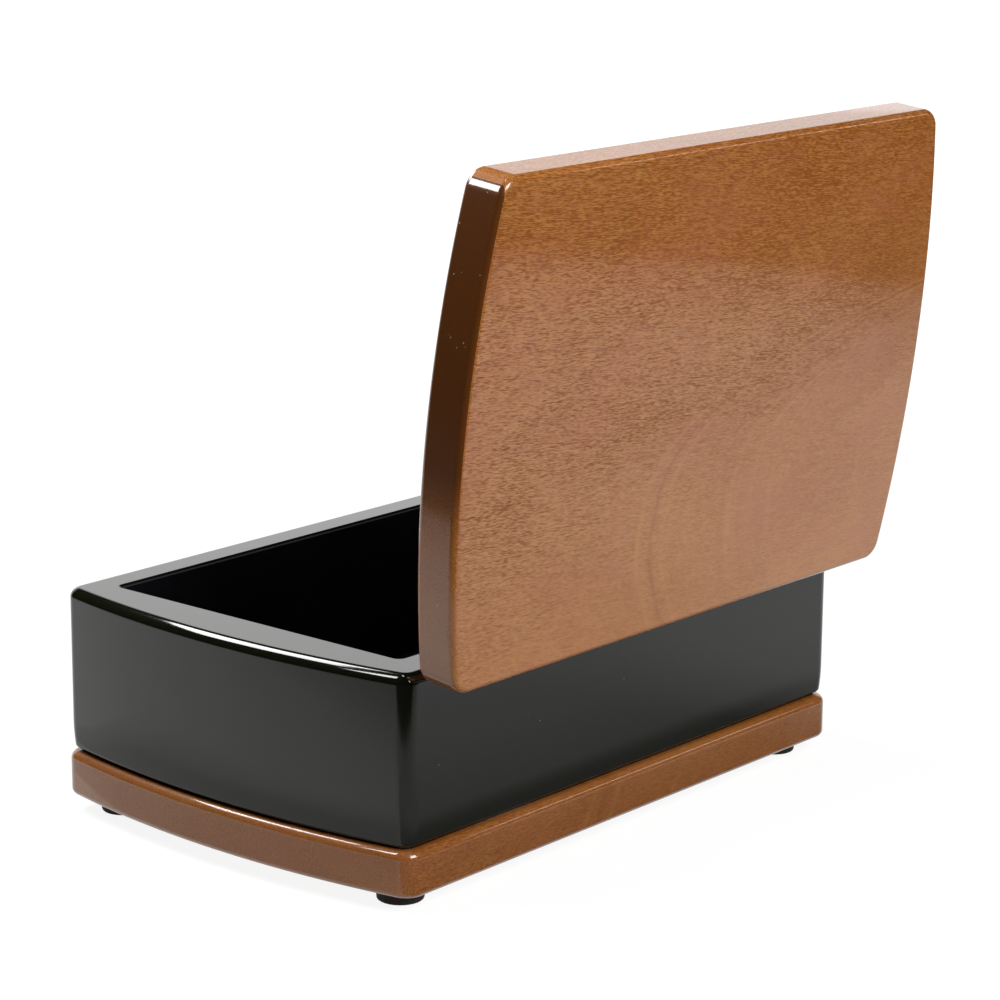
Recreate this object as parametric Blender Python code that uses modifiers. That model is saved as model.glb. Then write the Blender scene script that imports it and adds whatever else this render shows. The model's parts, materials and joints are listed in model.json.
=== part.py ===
# Keepsake chest with bowed ends, drawn with its lid open on the hinge stops.
# Lacquered walls stand between an overhanging base board and a matching lid board.
# +X runs along the chest, -Y is its front, +Y its hinge side and the floor is at Z = 0.

import bpy
import bmesh
from math import asin, atan2, cos, pi, radians, sin, sqrt

# Lacquered body
BODY_LENGTH = 0.2587            # between the sharp corners, without the bow
BODY_DEPTH = 0.180
BODY_HEIGHT = 0.0660
END_BOW = 0.0093                # how far each end swells past its corners
END_WALL = 0.0139               # at the corners, where an end is thinnest
FRONT_WALL = 0.0146
BACK_WALL = 0.0172
BODY_TOP_ROUND = 0.0040
BODY_CORNER_RADIUS = 0.0070     # of the upright corners, in plan
BODY_TUCK = 0.0009              # how far the skirt draws in at its foot
BODY_TUCK_HEIGHT = 0.013
RIM_BEVEL = 0.0007

# Tongues that key the long walls into the ends
TONGUE_LENGTH = 0.005
TONGUE_THICKNESS = 0.005
TONGUE_STOP = 0.012             # the tongue ends this far under the rim

# Base board and lid board
BOARD_END_OVERHANG = 0.0011     # past the swell of each end
BASE_SIDE_OVERHANG = 0.0015     # past the straight front and back
LID_SIDE_OVERHANG = 0.0030
BOARD_CORNER_RADIUS = 0.0085
BOARD_ROUND = 0.0026
BASE_TOP_ROUND = 0.0035
BASE_THICKNESS = 0.018
LID_THICKNESS = 0.018
LID_GAP = 0.0003                # between the rim and the closed lid
LID_OPEN_DEG = 96.7

# Felt lining
LINING_THICKNESS = 0.0018
FLOOR_PAD_THICKNESS = 0.0025
LINING_DROP = 0.0008            # from the rim down to the lining's top edge
LINING_EDGE = 0.0004

# Stop hinges
HINGE_WIDTH = 0.038
HINGE_INSET = 0.0184            # from the end of the opening to the hinge
LEAF_THICKNESS = 0.0012
LEAF_DEPTH = 0.012
LEAF_FLANGE = 0.0056
LEAF_CORNER = 0.0015
BARREL_RADIUS = 0.0026
BARREL_CLEARANCE = 0.0005       # from the barrel to the back of the body
KNUCKLE_COUNT = 5
KNUCKLE_GAP = 0.0003
STOP_GAP = 0.0003               # from the heel to the flange with the lid open
HEEL_LENGTH = 0.0030
PIN_RADIUS = 0.0012
PIN_CLEARANCE = 0.0001
PIN_HEAD_LIP = 0.0007           # how far a peened pin end spreads past the pin
PIN_HEAD_HEIGHT = 0.0007
PIN_END_PLAY = 0.0002
HINGE_SCREW_ALONG_SHARES = (-0.34, 0.0, 0.34)
HINGE_SCREW_IN_SHARES = (0.62, 0.42, 0.62)

# Hinge screws
HINGE_SCREW_HEAD = 0.0022
HINGE_SCREW_SHANK = 0.0011
HINGE_SCREW_LENGTH = 0.010

# Screws that hold the base board to the walls
BASE_SCREW_HEAD = 0.0035
BASE_SCREW_SHANK = 0.00175
BASE_SCREW_CONE = 0.0022
BASE_SCREW_LENGTH = 0.032
BASE_SCREW_LONG_SHARES = (-0.72, 0.0, 0.72)

# Feet and their screws
FOOT_RADIUS = 0.0093
FOOT_HEIGHT = 0.0066
FOOT_TAPER = 0.0004
FOOT_ROUND = 0.0009
FOOT_IN_LENGTH = 0.0143         # from the base board's corner line to the foot's centre
FOOT_IN_DEPTH = 0.0180
FOOT_RECESS_ROOM = 0.0008       # round the screw head
FOOT_RECESS_COVER = 0.0014      # from the screw head down to the floor
FOOT_SCREW_HEAD = 0.0032
FOOT_SCREW_DOME = 0.0018
FOOT_SCREW_SHANK = 0.0015
FOOT_SCREW_LENGTH = 0.012

# Fits and cuts
FIT_GAP = 0.0003
SCREW_GAP = 0.0002
OVERRUN = 0.002
SLOT_WIDTH_SHARE = 0.30
SLOT_LENGTH_SHARE = 1.25
SLOT_DEPTH_SHARE = 0.62
SCREW_POINT_SHARE = 0.22

# Smoothness of round shapes
BOW_STEPS = 12
CORNER_STEPS = 6
ROUND_STEPS = 4
TUCK_STEPS = 3
BARREL_STEPS = 18
SCREW_SIDES = 12
FOOT_SIDES = 28
FOOT_ROUND_STEPS = 3
LEAF_CORNER_STEPS = 3
MERGE = 0.00001

# Places that follow from the sizes
base_bottom = FOOT_HEIGHT
base_top = base_bottom + BASE_THICKNESS
rim = base_top + BODY_HEIGHT
lid_under = rim + LID_GAP
lid_top = lid_under + LID_THICKNESS
half_length = BODY_LENGTH / 2
half_depth = BODY_DEPTH / 2
opening_x = half_length - END_WALL
opening_front = -half_depth + FRONT_WALL
opening_back = half_depth - BACK_WALL
end_radius = (half_depth ** 2 + END_BOW ** 2) / (2 * END_BOW)
end_centre = half_length + END_BOW - end_radius
base_half_depth = half_depth + BASE_SIDE_OVERHANG
lid_half_depth = half_depth + LID_SIDE_OVERHANG
board_radius = end_radius + BOARD_END_OVERHANG
base_half_length = end_centre + sqrt(board_radius ** 2 - base_half_depth ** 2)
pin_y = half_depth + BARREL_CLEARANCE + BARREL_RADIUS
pin_z = lid_under + LEAF_THICKNESS - BARREL_RADIUS
lid_swing = -radians(LID_OPEN_DEG)
pin_head_radius = PIN_RADIUS + PIN_HEAD_LIP
hinge_screw_cone = LEAF_THICKNESS - SCREW_GAP
foot_recess_radius = FOOT_SCREW_HEAD + FOOT_RECESS_ROOM
foot_recess_depth = FOOT_SCREW_DOME + FOOT_RECESS_COVER

# The origin lies on the floor, midway between the front and the top of the open lid
lid_edge_y = -lid_half_depth + BOARD_ROUND - pin_y
lid_edge_z = lid_top - BOARD_ROUND - pin_z
lid_reach = pin_y + lid_edge_y * cos(lid_swing) - lid_edge_z * sin(lid_swing) + BOARD_ROUND
origin_y = (lid_reach - base_half_depth) / 2


# Scene, collections and the two empties that carry everything
for old in list(bpy.data.objects):
    bpy.data.objects.remove(old, do_unlink=True)

chest = bpy.data.collections.new("keepsake_chest")
cutters = bpy.data.collections.new("cutters")
bpy.context.scene.collection.children.link(chest)
bpy.context.scene.collection.children.link(cutters)

chest_frame = bpy.data.objects.new("chest_frame", None)
chest_frame.location = (0, -origin_y, 0)
chest.objects.link(chest_frame)

lid_pivot = bpy.data.objects.new("lid_pivot", None)
lid_pivot.parent = chest_frame
lid_pivot.location = (0, pin_y, pin_z)
lid_pivot.rotation_euler = (lid_swing, 0, 0)
chest.objects.link(lid_pivot)


def make_material(name, color, roughness, metallic=0.0, coat=0.0):
    made = bpy.data.materials.new(name)
    made.use_nodes = True
    shader = made.node_tree.nodes["Principled BSDF"]
    shader.inputs["Base Color"].default_value = (*color, 1)
    shader.inputs["Roughness"].default_value = roughness
    shader.inputs["Metallic"].default_value = metallic
    shader.inputs["Coat Weight"].default_value = coat
    return made


lacquer = make_material("black_lacquer", (0.012, 0.014, 0.013), 0.12, coat=0.6)
walnut = make_material("brown_wood", (0.30, 0.13, 0.05), 0.28, coat=0.4)
felt = make_material("black_felt", (0.008, 0.008, 0.010), 0.95)
brass = make_material("brass", (0.72, 0.50, 0.20), 0.25, metallic=1.0)
steel = make_material("zinc_steel", (0.55, 0.55, 0.56), 0.30, metallic=1.0)
rubber = make_material("dark_rubber", (0.030, 0.020, 0.015), 0.60)


# Everything is drawn with the lid closed, in the chest's own frame.
# A piece of the lid hangs on the pivot, which swings it open about the hinge pins.
def join_frame(piece, on_lid):
    if on_lid:
        piece.parent = lid_pivot
        piece.location = (0, -pin_y, -pin_z)
    else:
        piece.parent = chest_frame
    return piece


def new_piece(name, mesh, material, on_lid=False):
    piece = bpy.data.objects.new(name, mesh)
    piece.data.materials.clear()
    piece.data.materials.append(material)
    chest.objects.link(piece)
    return join_frame(piece, on_lid)


def new_cutter(mesh, on_lid=False):
    piece = bpy.data.objects.new("cutter", mesh)
    piece.hide_render = True
    piece.display_type = "WIRE"
    cutters.objects.link(piece)
    return join_frame(piece, on_lid)


def cut(piece, mesh, on_lid=False, operation="DIFFERENCE"):
    modifier = piece.modifiers.new("cut", "BOOLEAN")
    modifier.operation = operation
    modifier.solver = "EXACT"
    modifier.object = new_cutter(mesh, on_lid)


def finished_mesh(piece):
    bpy.context.view_layer.update()
    graph = bpy.context.evaluated_depsgraph_get()
    return bpy.data.meshes.new_from_object(piece.evaluated_get(graph), depsgraph=graph)


def mesh_from(shape, name):
    mesh = bpy.data.meshes.new(name)
    shape.to_mesh(mesh)
    shape.free()
    return mesh


def block(low, high, flare=0.0):
    # A box between two corners; a flare widens its top on every side
    shape = bmesh.new()
    bmesh.ops.create_cube(shape, size=1)
    for corner in shape.verts:
        grow = flare if corner.co.z > 0 else 0
        for axis in range(3):
            share = corner.co[axis] + 1 / 2
            corner.co[axis] = low[axis] + (high[axis] - low[axis]) * share
            if axis < 2:
                corner.co[axis] += grow if share > 1 / 2 else -grow
    return mesh_from(shape, "block")


def rod(radius, centre, low, high, sides):
    # An upright round bar at a place in plan
    shape = bmesh.new()
    bmesh.ops.create_cone(shape, cap_ends=True, segments=sides,
                          radius1=radius, radius2=radius, depth=high - low)
    bmesh.ops.translate(shape, verts=shape.verts, vec=(*centre, (low + high) / 2))
    return mesh_from(shape, "rod")


def turned(profile, sides, name):
    # A profile of (radius, height) points that runs down the outer side, turned about Z
    mesh = bpy.data.meshes.new(name)
    points = [(radius, 0, height) for radius, height in profile]
    closed = profile[0][0] > 0
    edges = [(i, i + 1) for i in range(len(points) - 1)]
    if closed:
        edges.append((len(points) - 1, 0))
    mesh.from_pydata(points, edges, [])
    holder = bpy.data.objects.new(name, mesh)
    cutters.objects.link(holder)
    screw = holder.modifiers.new("turn", "SCREW")
    screw.axis = "Z"
    screw.steps = sides
    screw.render_steps = sides
    screw.use_merge_vertices = True
    screw.merge_threshold = MERGE
    solid = finished_mesh(holder)
    bpy.data.objects.remove(holder, do_unlink=True)
    return solid


def outline_solid(points, thickness, name):
    # A flat closed outline, thickened about its own plane, with single flat caps
    curve = bpy.data.curves.new(name, "CURVE")
    curve.dimensions = "2D"
    curve.fill_mode = "BOTH"
    curve.extrude = thickness / 2
    spline = curve.splines.new("POLY")
    spline.points.add(len(points) - 1)
    for point, (x, y) in zip(spline.points, points):
        point.co = (x, y, 0, 1)
    spline.use_cyclic_u = True
    holder = bpy.data.objects.new(name, curve)
    cutters.objects.link(holder)
    solid = finished_mesh(holder)
    bpy.data.objects.remove(holder, do_unlink=True)
    shape = bmesh.new()
    shape.from_mesh(solid)
    bmesh.ops.remove_doubles(shape, verts=shape.verts, dist=MERGE)
    shape.normal_update()
    for side in (-1, 1):
        cap = [face for face in shape.faces if face.normal.z * side > cos(radians(1))]
        bmesh.ops.dissolve_faces(shape, faces=cap)
    bmesh.ops.recalc_face_normals(shape, faces=shape.faces)
    shape.to_mesh(solid)
    shape.free()
    return solid


def move(mesh, offset):
    for point in mesh.vertices:
        for axis in range(3):
            point.co[axis] += offset[axis]
    return mesh


def smooth(piece, angle=35):
    piece.data.shade_smooth()
    piece.data.set_sharp_from_angle(angle=radians(angle))


def arc(centre, radius, start, stop, steps):
    angles = [start + (stop - start) * i / steps for i in range(steps + 1)]
    return [(centre[0] + radius * cos(a), centre[1] + radius * sin(a)) for a in angles]


# The plan that the body and both boards share: straight sides and bowed ends
def chest_plan(depth_half, radius, corner, inset=0.0):
    corner_y = depth_half - corner
    corner_x = end_centre + sqrt((radius - corner) ** 2 - corner_y ** 2)
    lean = atan2(corner_y, corner_x - end_centre)
    rounding = corner - inset
    end = arc((corner_x, -corner_y), rounding, -pi / 2, -lean, CORNER_STEPS)
    end += arc((end_centre, 0), radius - inset, -lean, lean, BOW_STEPS)[1:-1]
    end += arc((corner_x, corner_y), rounding, lean, pi / 2, CORNER_STEPS)
    return end + [(-x, -y) for x, y in end]


# Rounded edges as sections, each an inset from the plan and a height, from the bottom up
def round_upwards(low, radius):
    turns = [pi / 2 * i / ROUND_STEPS for i in range(ROUND_STEPS + 1)]
    return [(radius * (1 - sin(turn)), low + radius * (1 - cos(turn))) for turn in turns]


def round_inwards(high, radius):
    turns = [pi / 2 * i / ROUND_STEPS for i in range(ROUND_STEPS + 1)]
    return [(radius * (1 - cos(turn)), high - radius * (1 - sin(turn))) for turn in turns]


def tucked_skirt():
    rises = [i / TUCK_STEPS for i in range(TUCK_STEPS + 1)]
    return [(BODY_TUCK * (1 - rise) ** 2, base_top + BODY_TUCK_HEIGHT * rise) for rise in rises]


# Stacks the plan at each section and closes it into one block
def loft(name, sections, depth_half, radius, corner):
    shape = bmesh.new()
    rings = []
    for inset, height in sections:
        plan = chest_plan(depth_half, radius, corner, inset)
        rings.append([shape.verts.new((x, y, height)) for x, y in plan])
    count = len(rings[0])
    for lower, upper in zip(rings, rings[1:]):
        for i in range(count):
            after = (i + 1) % count
            shape.faces.new((lower[i], lower[after], upper[after], upper[i]))
    shape.faces.new(rings[-1])
    shape.faces.new(rings[0][::-1])
    return mesh_from(shape, name)


# The body is one block before the walls are parted from it
def body_block():
    sections = tucked_skirt() + round_inwards(rim, BODY_TOP_ROUND)
    return loft("body_block", sections, half_depth, end_radius, BODY_CORNER_RADIUS)


def rim_flare():
    low = (-opening_x, opening_front, rim - RIM_BEVEL)
    high = (opening_x, opening_back, rim + RIM_BEVEL)
    return block(low, high, flare=2 * RIM_BEVEL)


def tongue(side, wall_y, gap):
    # From well inside the long wall to its seat in the end, with a gap all round
    near = side * (opening_x - TONGUE_LENGTH)
    far = side * (opening_x + TONGUE_LENGTH + gap)
    half = TONGUE_THICKNESS / 2 + gap
    low = (min(near, far), wall_y - half, base_top - (OVERRUN if gap else 0))
    high = (max(near, far), wall_y + half, rim - TONGUE_STOP + gap)
    return block(low, high)


front_middle = (opening_front - half_depth) / 2
back_middle = (opening_back + half_depth) / 2
end_middle = (opening_x + half_length + END_BOW) / 2


def hinge_places():
    x = opening_x - HINGE_INSET - HINGE_WIDTH / 2
    return [("left", -x), ("right", x)]


# Plan places of the three screws in one leaf, numbered along the chest
def hinge_screw_places(hinge_x):
    shares = zip(HINGE_SCREW_ALONG_SHARES, HINGE_SCREW_IN_SHARES)
    return [(hinge_x + HINGE_WIDTH * along, half_depth - LEAF_DEPTH * inward)
            for along, inward in shares]


def base_screw_places():
    long_walls = [(opening_x * share, wall_y)
                  for wall_y in (front_middle, back_middle)
                  for share in BASE_SCREW_LONG_SHARES]
    return long_walls + [(-end_middle, 0), (end_middle, 0)]


def foot_places():
    x = base_half_length - FOOT_IN_LENGTH
    y = base_half_depth - FOOT_IN_DEPTH
    return [("front_left", -x, -y), ("front_right", x, -y),
            ("back_left", -x, y), ("back_right", x, y)]


# Walls
def make_wall(name, low, high):
    wall = new_piece(name, body_block(), lacquer)
    cut(wall, block(low, high), operation="INTERSECT")
    cut(wall, rim_flare())
    return wall


def make_long_wall(name, inner, outer, middle):
    low = (-opening_x, min(inner, outer), base_top - OVERRUN)
    high = (opening_x, max(inner, outer), rim + OVERRUN)
    wall = make_wall(name, low, high)
    for side in (-1, 1):
        cut(wall, tongue(side, middle, 0), operation="UNION")
    return wall


def make_end_wall(name, side):
    far = side * (opening_x + END_WALL + END_BOW + OVERRUN)
    near = side * opening_x
    low = (min(near, far), -half_depth - OVERRUN, base_top - OVERRUN)
    high = (max(near, far), half_depth + OVERRUN, rim + OVERRUN)
    wall = make_wall(name, low, high)
    for middle in (front_middle, back_middle):
        cut(wall, tongue(side, middle, FIT_GAP))
    return wall


def bore_for_base_screws(wall, places):
    tip = base_bottom + BASE_SCREW_LENGTH + SCREW_GAP
    for place in places:
        hole = rod(BASE_SCREW_SHANK + SCREW_GAP, place, base_top - OVERRUN, tip, SCREW_SIDES)
        cut(wall, hole)


def make_walls():
    front = make_long_wall("front_wall", opening_front, -half_depth - OVERRUN, front_middle)
    back = make_long_wall("back_wall", opening_back, half_depth + OVERRUN, back_middle)
    left = make_end_wall("left_end", -1)
    right = make_end_wall("right_end", 1)
    for x, y in base_screw_places():
        wall = front if y < 0 else back
        if y == 0:
            wall = left if x < 0 else right
        bore_for_base_screws(wall, [(x, y)])
    mortise_back_wall(back)
    for wall in (front, back, left, right):
        smooth(wall)


# Seats in the rim and the back of the body for the L-shaped body leaves
def mortise_back_wall(back):
    for _, hinge_x in hinge_places():
        side = HINGE_WIDTH / 2 + FIT_GAP
        low = (hinge_x - side, half_depth - LEAF_DEPTH - FIT_GAP, rim - LEAF_THICKNESS)
        high = (hinge_x + side, half_depth + OVERRUN, rim + OVERRUN)
        cut(back, block(low, high))
        low = (hinge_x - side, half_depth - LEAF_THICKNESS, rim - LEAF_FLANGE - FIT_GAP)
        cut(back, block(low, high))
        for place in hinge_screw_places(hinge_x):
            tip = rim - HINGE_SCREW_LENGTH - SCREW_GAP
            cut(back, rod(HINGE_SCREW_SHANK + SCREW_GAP, place, tip, rim, SCREW_SIDES))


# Boards
def make_board(name, low, high, depth_half, top_round, on_lid=False):
    sections = round_upwards(low, BOARD_ROUND) + round_inwards(high, top_round)
    mesh = loft(name, sections, depth_half, board_radius, BOARD_CORNER_RADIUS)
    return new_piece(name, mesh, walnut, on_lid)


# A countersunk hole drawn downwards from Z = 0, cut a little past both faces
def sink_hole(head, shank, cone, depth):
    slope = (head - shank) / cone
    profile = [(0, OVERRUN),
               (head + SCREW_GAP + OVERRUN * slope, OVERRUN),
               (shank + SCREW_GAP, -cone),
               (shank + SCREW_GAP, -depth - OVERRUN),
               (0, -depth - OVERRUN)]
    return turned(profile, SCREW_SIDES, "sink_hole")


def upside_down(mesh):
    for point in mesh.vertices:
        point.co.y = -point.co.y
        point.co.z = -point.co.z
    return mesh


def make_base_board():
    base = make_board("base_board", base_bottom, base_top, base_half_depth, BASE_TOP_ROUND)
    for place in base_screw_places():
        hole = sink_hole(BASE_SCREW_HEAD, BASE_SCREW_SHANK, BASE_SCREW_CONE, BASE_THICKNESS)
        cut(base, move(upside_down(hole), (*place, base_bottom)))
    for _, x, y in foot_places():
        tip = foot_recess_depth + FOOT_SCREW_LENGTH + SCREW_GAP
        radius = FOOT_SCREW_SHANK + SCREW_GAP
        cut(base, rod(radius, (x, y), base_bottom - OVERRUN, tip, SCREW_SIDES))
    smooth(base)


def make_lid_board():
    lid = make_board("lid_board", lid_under, lid_top, lid_half_depth, BOARD_ROUND,
                     on_lid=True)
    for _, hinge_x in hinge_places():
        side = HINGE_WIDTH / 2 + FIT_GAP
        low = (hinge_x - side, half_depth - LEAF_DEPTH - FIT_GAP, lid_under - OVERRUN)
        high = (hinge_x + side, lid_half_depth + OVERRUN,
                lid_under + LEAF_THICKNESS + FIT_GAP)
        cut(lid, block(low, high), on_lid=True)
        for place in hinge_screw_places(hinge_x):
            tip = lid_under + HINGE_SCREW_LENGTH + SCREW_GAP
            hole = rod(HINGE_SCREW_SHANK + SCREW_GAP, place, lid_under, tip, SCREW_SIDES)
            cut(lid, hole, on_lid=True)
    smooth(lid)


# Felt lining: a pad on the base board and a strip on each wall
def make_pad(name, low, high):
    pad = new_piece(name, block(low, high), felt)
    edge = pad.modifiers.new("edge", "BEVEL")
    edge.width = LINING_EDGE
    edge.segments = 2
    edge.limit_method = "NONE"


def make_lining():
    top = rim - LINING_DROP
    inner_x = opening_x - LINING_THICKNESS
    inner_front = opening_front + LINING_THICKNESS
    inner_back = opening_back - LINING_THICKNESS
    make_pad("front_lining", (-opening_x, opening_front, base_top),
             (opening_x, inner_front, top))
    make_pad("back_lining", (-opening_x, inner_back, base_top),
             (opening_x, opening_back, top))
    make_pad("left_lining", (-opening_x, inner_front, base_top),
             (-inner_x, inner_back, top))
    make_pad("right_lining", (inner_x, inner_front, base_top),
             (opening_x, inner_back, top))
    make_pad("floor_pad", (-inner_x + FIT_GAP, inner_front + FIT_GAP, base_top),
             (inner_x - FIT_GAP, inner_back - FIT_GAP, base_top + FLOOR_PAD_THICKNESS))


# Section of a body leaf: the plate, its flange down the back of the wall and the barrel
def body_leaf_section():
    neck = asin((rim - LEAF_THICKNESS - pin_z) / BARREL_RADIUS)
    crown = asin((rim - pin_z) / BARREL_RADIUS)
    section = [(half_depth - LEAF_DEPTH, rim - LEAF_THICKNESS),
               (half_depth - LEAF_THICKNESS, rim - LEAF_THICKNESS),
               (half_depth - LEAF_THICKNESS, rim - LEAF_FLANGE),
               (half_depth, rim - LEAF_FLANGE),
               (half_depth, rim - LEAF_THICKNESS)]
    section += arc((pin_y, pin_z), BARREL_RADIUS, -pi - neck, pi - crown, BARREL_STEPS)
    section += [(half_depth - LEAF_DEPTH, rim)]
    return section


# Section of a lid leaf, lid closed: the plate, the barrel and the heel.
# The heel turns with the lid until its flat meets the flange, which stops the lid.
def lid_leaf_section():
    flat = BARREL_RADIUS + BARREL_CLEARANCE - STOP_GAP
    turn = -lid_swing
    heel = [(-flat, 0), (-flat, -HEEL_LENGTH)]
    closed_heel = [(pin_y + y * cos(turn) - z * sin(turn),
                    pin_z + y * sin(turn) + z * cos(turn)) for y, z in heel]
    neck = asin((lid_under - pin_z) / BARREL_RADIUS)
    section = [(half_depth - LEAF_DEPTH, lid_under)]
    section += arc((pin_y, pin_z), BARREL_RADIUS, pi - neck, pi + turn, BARREL_STEPS // 2)
    section += closed_heel
    section += arc((pin_y, pin_z), BARREL_RADIUS, -pi / 2 + turn, pi / 2, BARREL_STEPS // 3)
    section += [(half_depth - LEAF_DEPTH, lid_under + LEAF_THICKNESS)]
    return section


def along_x(mesh, centre):
    # Stands a section drawn in (Y, Z) up across the chest, centred at a place along X
    for point in mesh.vertices:
        y, z, x = point.co
        point.co = (x + centre, y, z)
    return mesh


def knuckle_span(hinge_x, number):
    width = HINGE_WIDTH / KNUCKLE_COUNT
    start = hinge_x - HINGE_WIDTH / 2 + width * number
    return start - KNUCKLE_GAP / 2, start + width + KNUCKLE_GAP / 2


def pin_bore(hinge_x):
    shape = bmesh.new()
    bmesh.ops.create_cone(shape, cap_ends=True, segments=BARREL_STEPS,
                          radius1=PIN_RADIUS + PIN_CLEARANCE,
                          radius2=PIN_RADIUS + PIN_CLEARANCE,
                          depth=HINGE_WIDTH + 2 * OVERRUN)
    return move(along_x(mesh_from(shape, "pin_bore"), hinge_x), (0, pin_y, pin_z))


# What is cut away for the other leaf's knuckles, as a section
def body_notch_section():
    reach = 2 * BARREL_RADIUS + HEEL_LENGTH
    bend = (half_depth - LEAF_CORNER, rim - LEAF_CORNER)
    section = [(half_depth, pin_z - reach), (pin_y + reach, pin_z - reach),
               (pin_y + reach, pin_z + reach), (half_depth - LEAF_CORNER, pin_z + reach)]
    return section + arc(bend, LEAF_CORNER, pi / 2, 0, LEAF_CORNER_STEPS)


def lid_notch_section():
    reach = 2 * BARREL_RADIUS + HEEL_LENGTH
    start = pin_y - BARREL_RADIUS - KNUCKLE_GAP
    return [(start, pin_z - reach), (pin_y + reach, pin_z - reach),
            (pin_y + reach, pin_z + reach), (start, pin_z + reach)]


# A leaf is one section along the whole hinge, notched where the other leaf's knuckles go
def make_leaf(name, section, notch, hinge_x, own_first, on_lid):
    mesh = along_x(outline_solid(section, HINGE_WIDTH, name), hinge_x)
    leaf = new_piece(name, mesh, brass, on_lid)
    for number in range(KNUCKLE_COUNT):
        if (number % 2 == 0) == own_first:
            continue
        start, stop = knuckle_span(hinge_x, number)
        if number == 0:
            start -= OVERRUN
        if number == KNUCKLE_COUNT - 1:
            stop += OVERRUN
        gap = along_x(outline_solid(notch, stop - start, "notch"), (start + stop) / 2)
        cut(leaf, gap, on_lid)
    cut(leaf, pin_bore(hinge_x), on_lid)
    for place in hinge_screw_places(hinge_x):
        hole = sink_hole(HINGE_SCREW_HEAD, HINGE_SCREW_SHANK, hinge_screw_cone,
                         LEAF_THICKNESS)
        if on_lid:
            cut(leaf, move(upside_down(hole), (*place, lid_under)), on_lid)
        else:
            cut(leaf, move(hole, (*place, rim)))
    smooth(leaf)


def make_pin(name, hinge_x):
    end = HINGE_WIDTH / 2 + PIN_END_PLAY
    tip = end + PIN_HEAD_HEIGHT
    head = [(0, tip), (pin_head_radius * cos(pi / 4), tip - PIN_HEAD_HEIGHT * (1 - cos(pi / 4))),
            (pin_head_radius, end), (PIN_RADIUS, end)]
    profile = head + [(radius, -height) for radius, height in reversed(head)]
    mesh = move(along_x(turned(profile, BARREL_STEPS, name), hinge_x), (0, pin_y, pin_z))
    smooth(new_piece(name, mesh, brass))


def make_hinges():
    for side, hinge_x in hinge_places():
        make_leaf("%s_hinge_body_leaf" % side, body_leaf_section(), body_notch_section(),
                  hinge_x, True, False)
        make_leaf("%s_hinge_lid_leaf" % side, lid_leaf_section(), lid_notch_section(),
                  hinge_x, False, True)
        make_pin("%s_hinge_pin" % side, hinge_x)


# A screw drawn downwards from Z = 0, with a cross recess in its head
def screw_mesh(name, head_profile, head, shank, length):
    point = length * SCREW_POINT_SHARE
    profile = head_profile + [(shank, -length + point), (0, -length)]
    holder = bpy.data.objects.new(name, turned(profile, SCREW_SIDES, name))
    cutters.objects.link(holder)
    top = max(height for _, height in head_profile)
    reach = head * SLOT_LENGTH_SHARE / 2
    half = head * SLOT_WIDTH_SHARE / 2
    floor = top - head * SLOT_DEPTH_SHARE
    recess = []
    for x, y in ((reach, half), (half, reach)):
        modifier = holder.modifiers.new("recess", "BOOLEAN")
        modifier.solver = "EXACT"
        modifier.object = bpy.data.objects.new(
            "recess", block((-x, -y, floor), (x, y, top + OVERRUN)))
        cutters.objects.link(modifier.object)
        recess.append(modifier.object)
    mesh = finished_mesh(holder)
    for spent in recess + [holder]:
        bpy.data.objects.remove(spent, do_unlink=True)
    mesh.shade_smooth()
    mesh.set_sharp_from_angle(angle=radians(35))
    return mesh


def place_screw(name, mesh, material, place, pointing_up, on_lid=False):
    screw = new_piece(name, mesh, material, on_lid)
    screw.location = [start + shift for start, shift in zip(screw.location, place)]
    if pointing_up:
        screw.rotation_euler = (pi, 0, 0)


def make_hinge_screws():
    head = [(0, 0), (HINGE_SCREW_HEAD, 0), (HINGE_SCREW_SHANK, -hinge_screw_cone)]
    mesh = screw_mesh("hinge_screw", head, HINGE_SCREW_HEAD, HINGE_SCREW_SHANK,
                      HINGE_SCREW_LENGTH)
    for side, hinge_x in hinge_places():
        for number, (x, y) in enumerate(hinge_screw_places(hinge_x), 1):
            place_screw("%s_hinge_body_screw_%d" % (side, number), mesh, brass,
                        (x, y, rim), False)
            place_screw("%s_hinge_lid_screw_%d" % (side, number), mesh, brass,
                        (x, y, lid_under), True, on_lid=True)


def make_base_screws():
    head = [(0, 0), (BASE_SCREW_HEAD, 0), (BASE_SCREW_SHANK, -BASE_SCREW_CONE)]
    mesh = screw_mesh("base_screw", head, BASE_SCREW_HEAD, BASE_SCREW_SHANK,
                      BASE_SCREW_LENGTH)
    for number, (x, y) in enumerate(base_screw_places(), 1):
        place_screw("base_screw_%d" % number, mesh, steel, (x, y, base_bottom), True)


# A foot is a turned ring: its screw head sits up inside a recess, clear of the floor
def foot_mesh():
    hole = FOOT_SCREW_SHANK + SCREW_GAP
    low = FOOT_RADIUS - FOOT_TAPER
    profile = [(FOOT_RADIUS, FOOT_HEIGHT)]
    for i in range(FOOT_ROUND_STEPS + 1):
        turn = pi / 2 * i / FOOT_ROUND_STEPS
        profile.append((low - FOOT_ROUND * (1 - cos(turn)), FOOT_ROUND * (1 - sin(turn))))
    profile += [(foot_recess_radius, 0), (foot_recess_radius, foot_recess_depth),
                (hole, foot_recess_depth), (hole, FOOT_HEIGHT)]
    return turned(profile, FOOT_SIDES, "foot")


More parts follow.
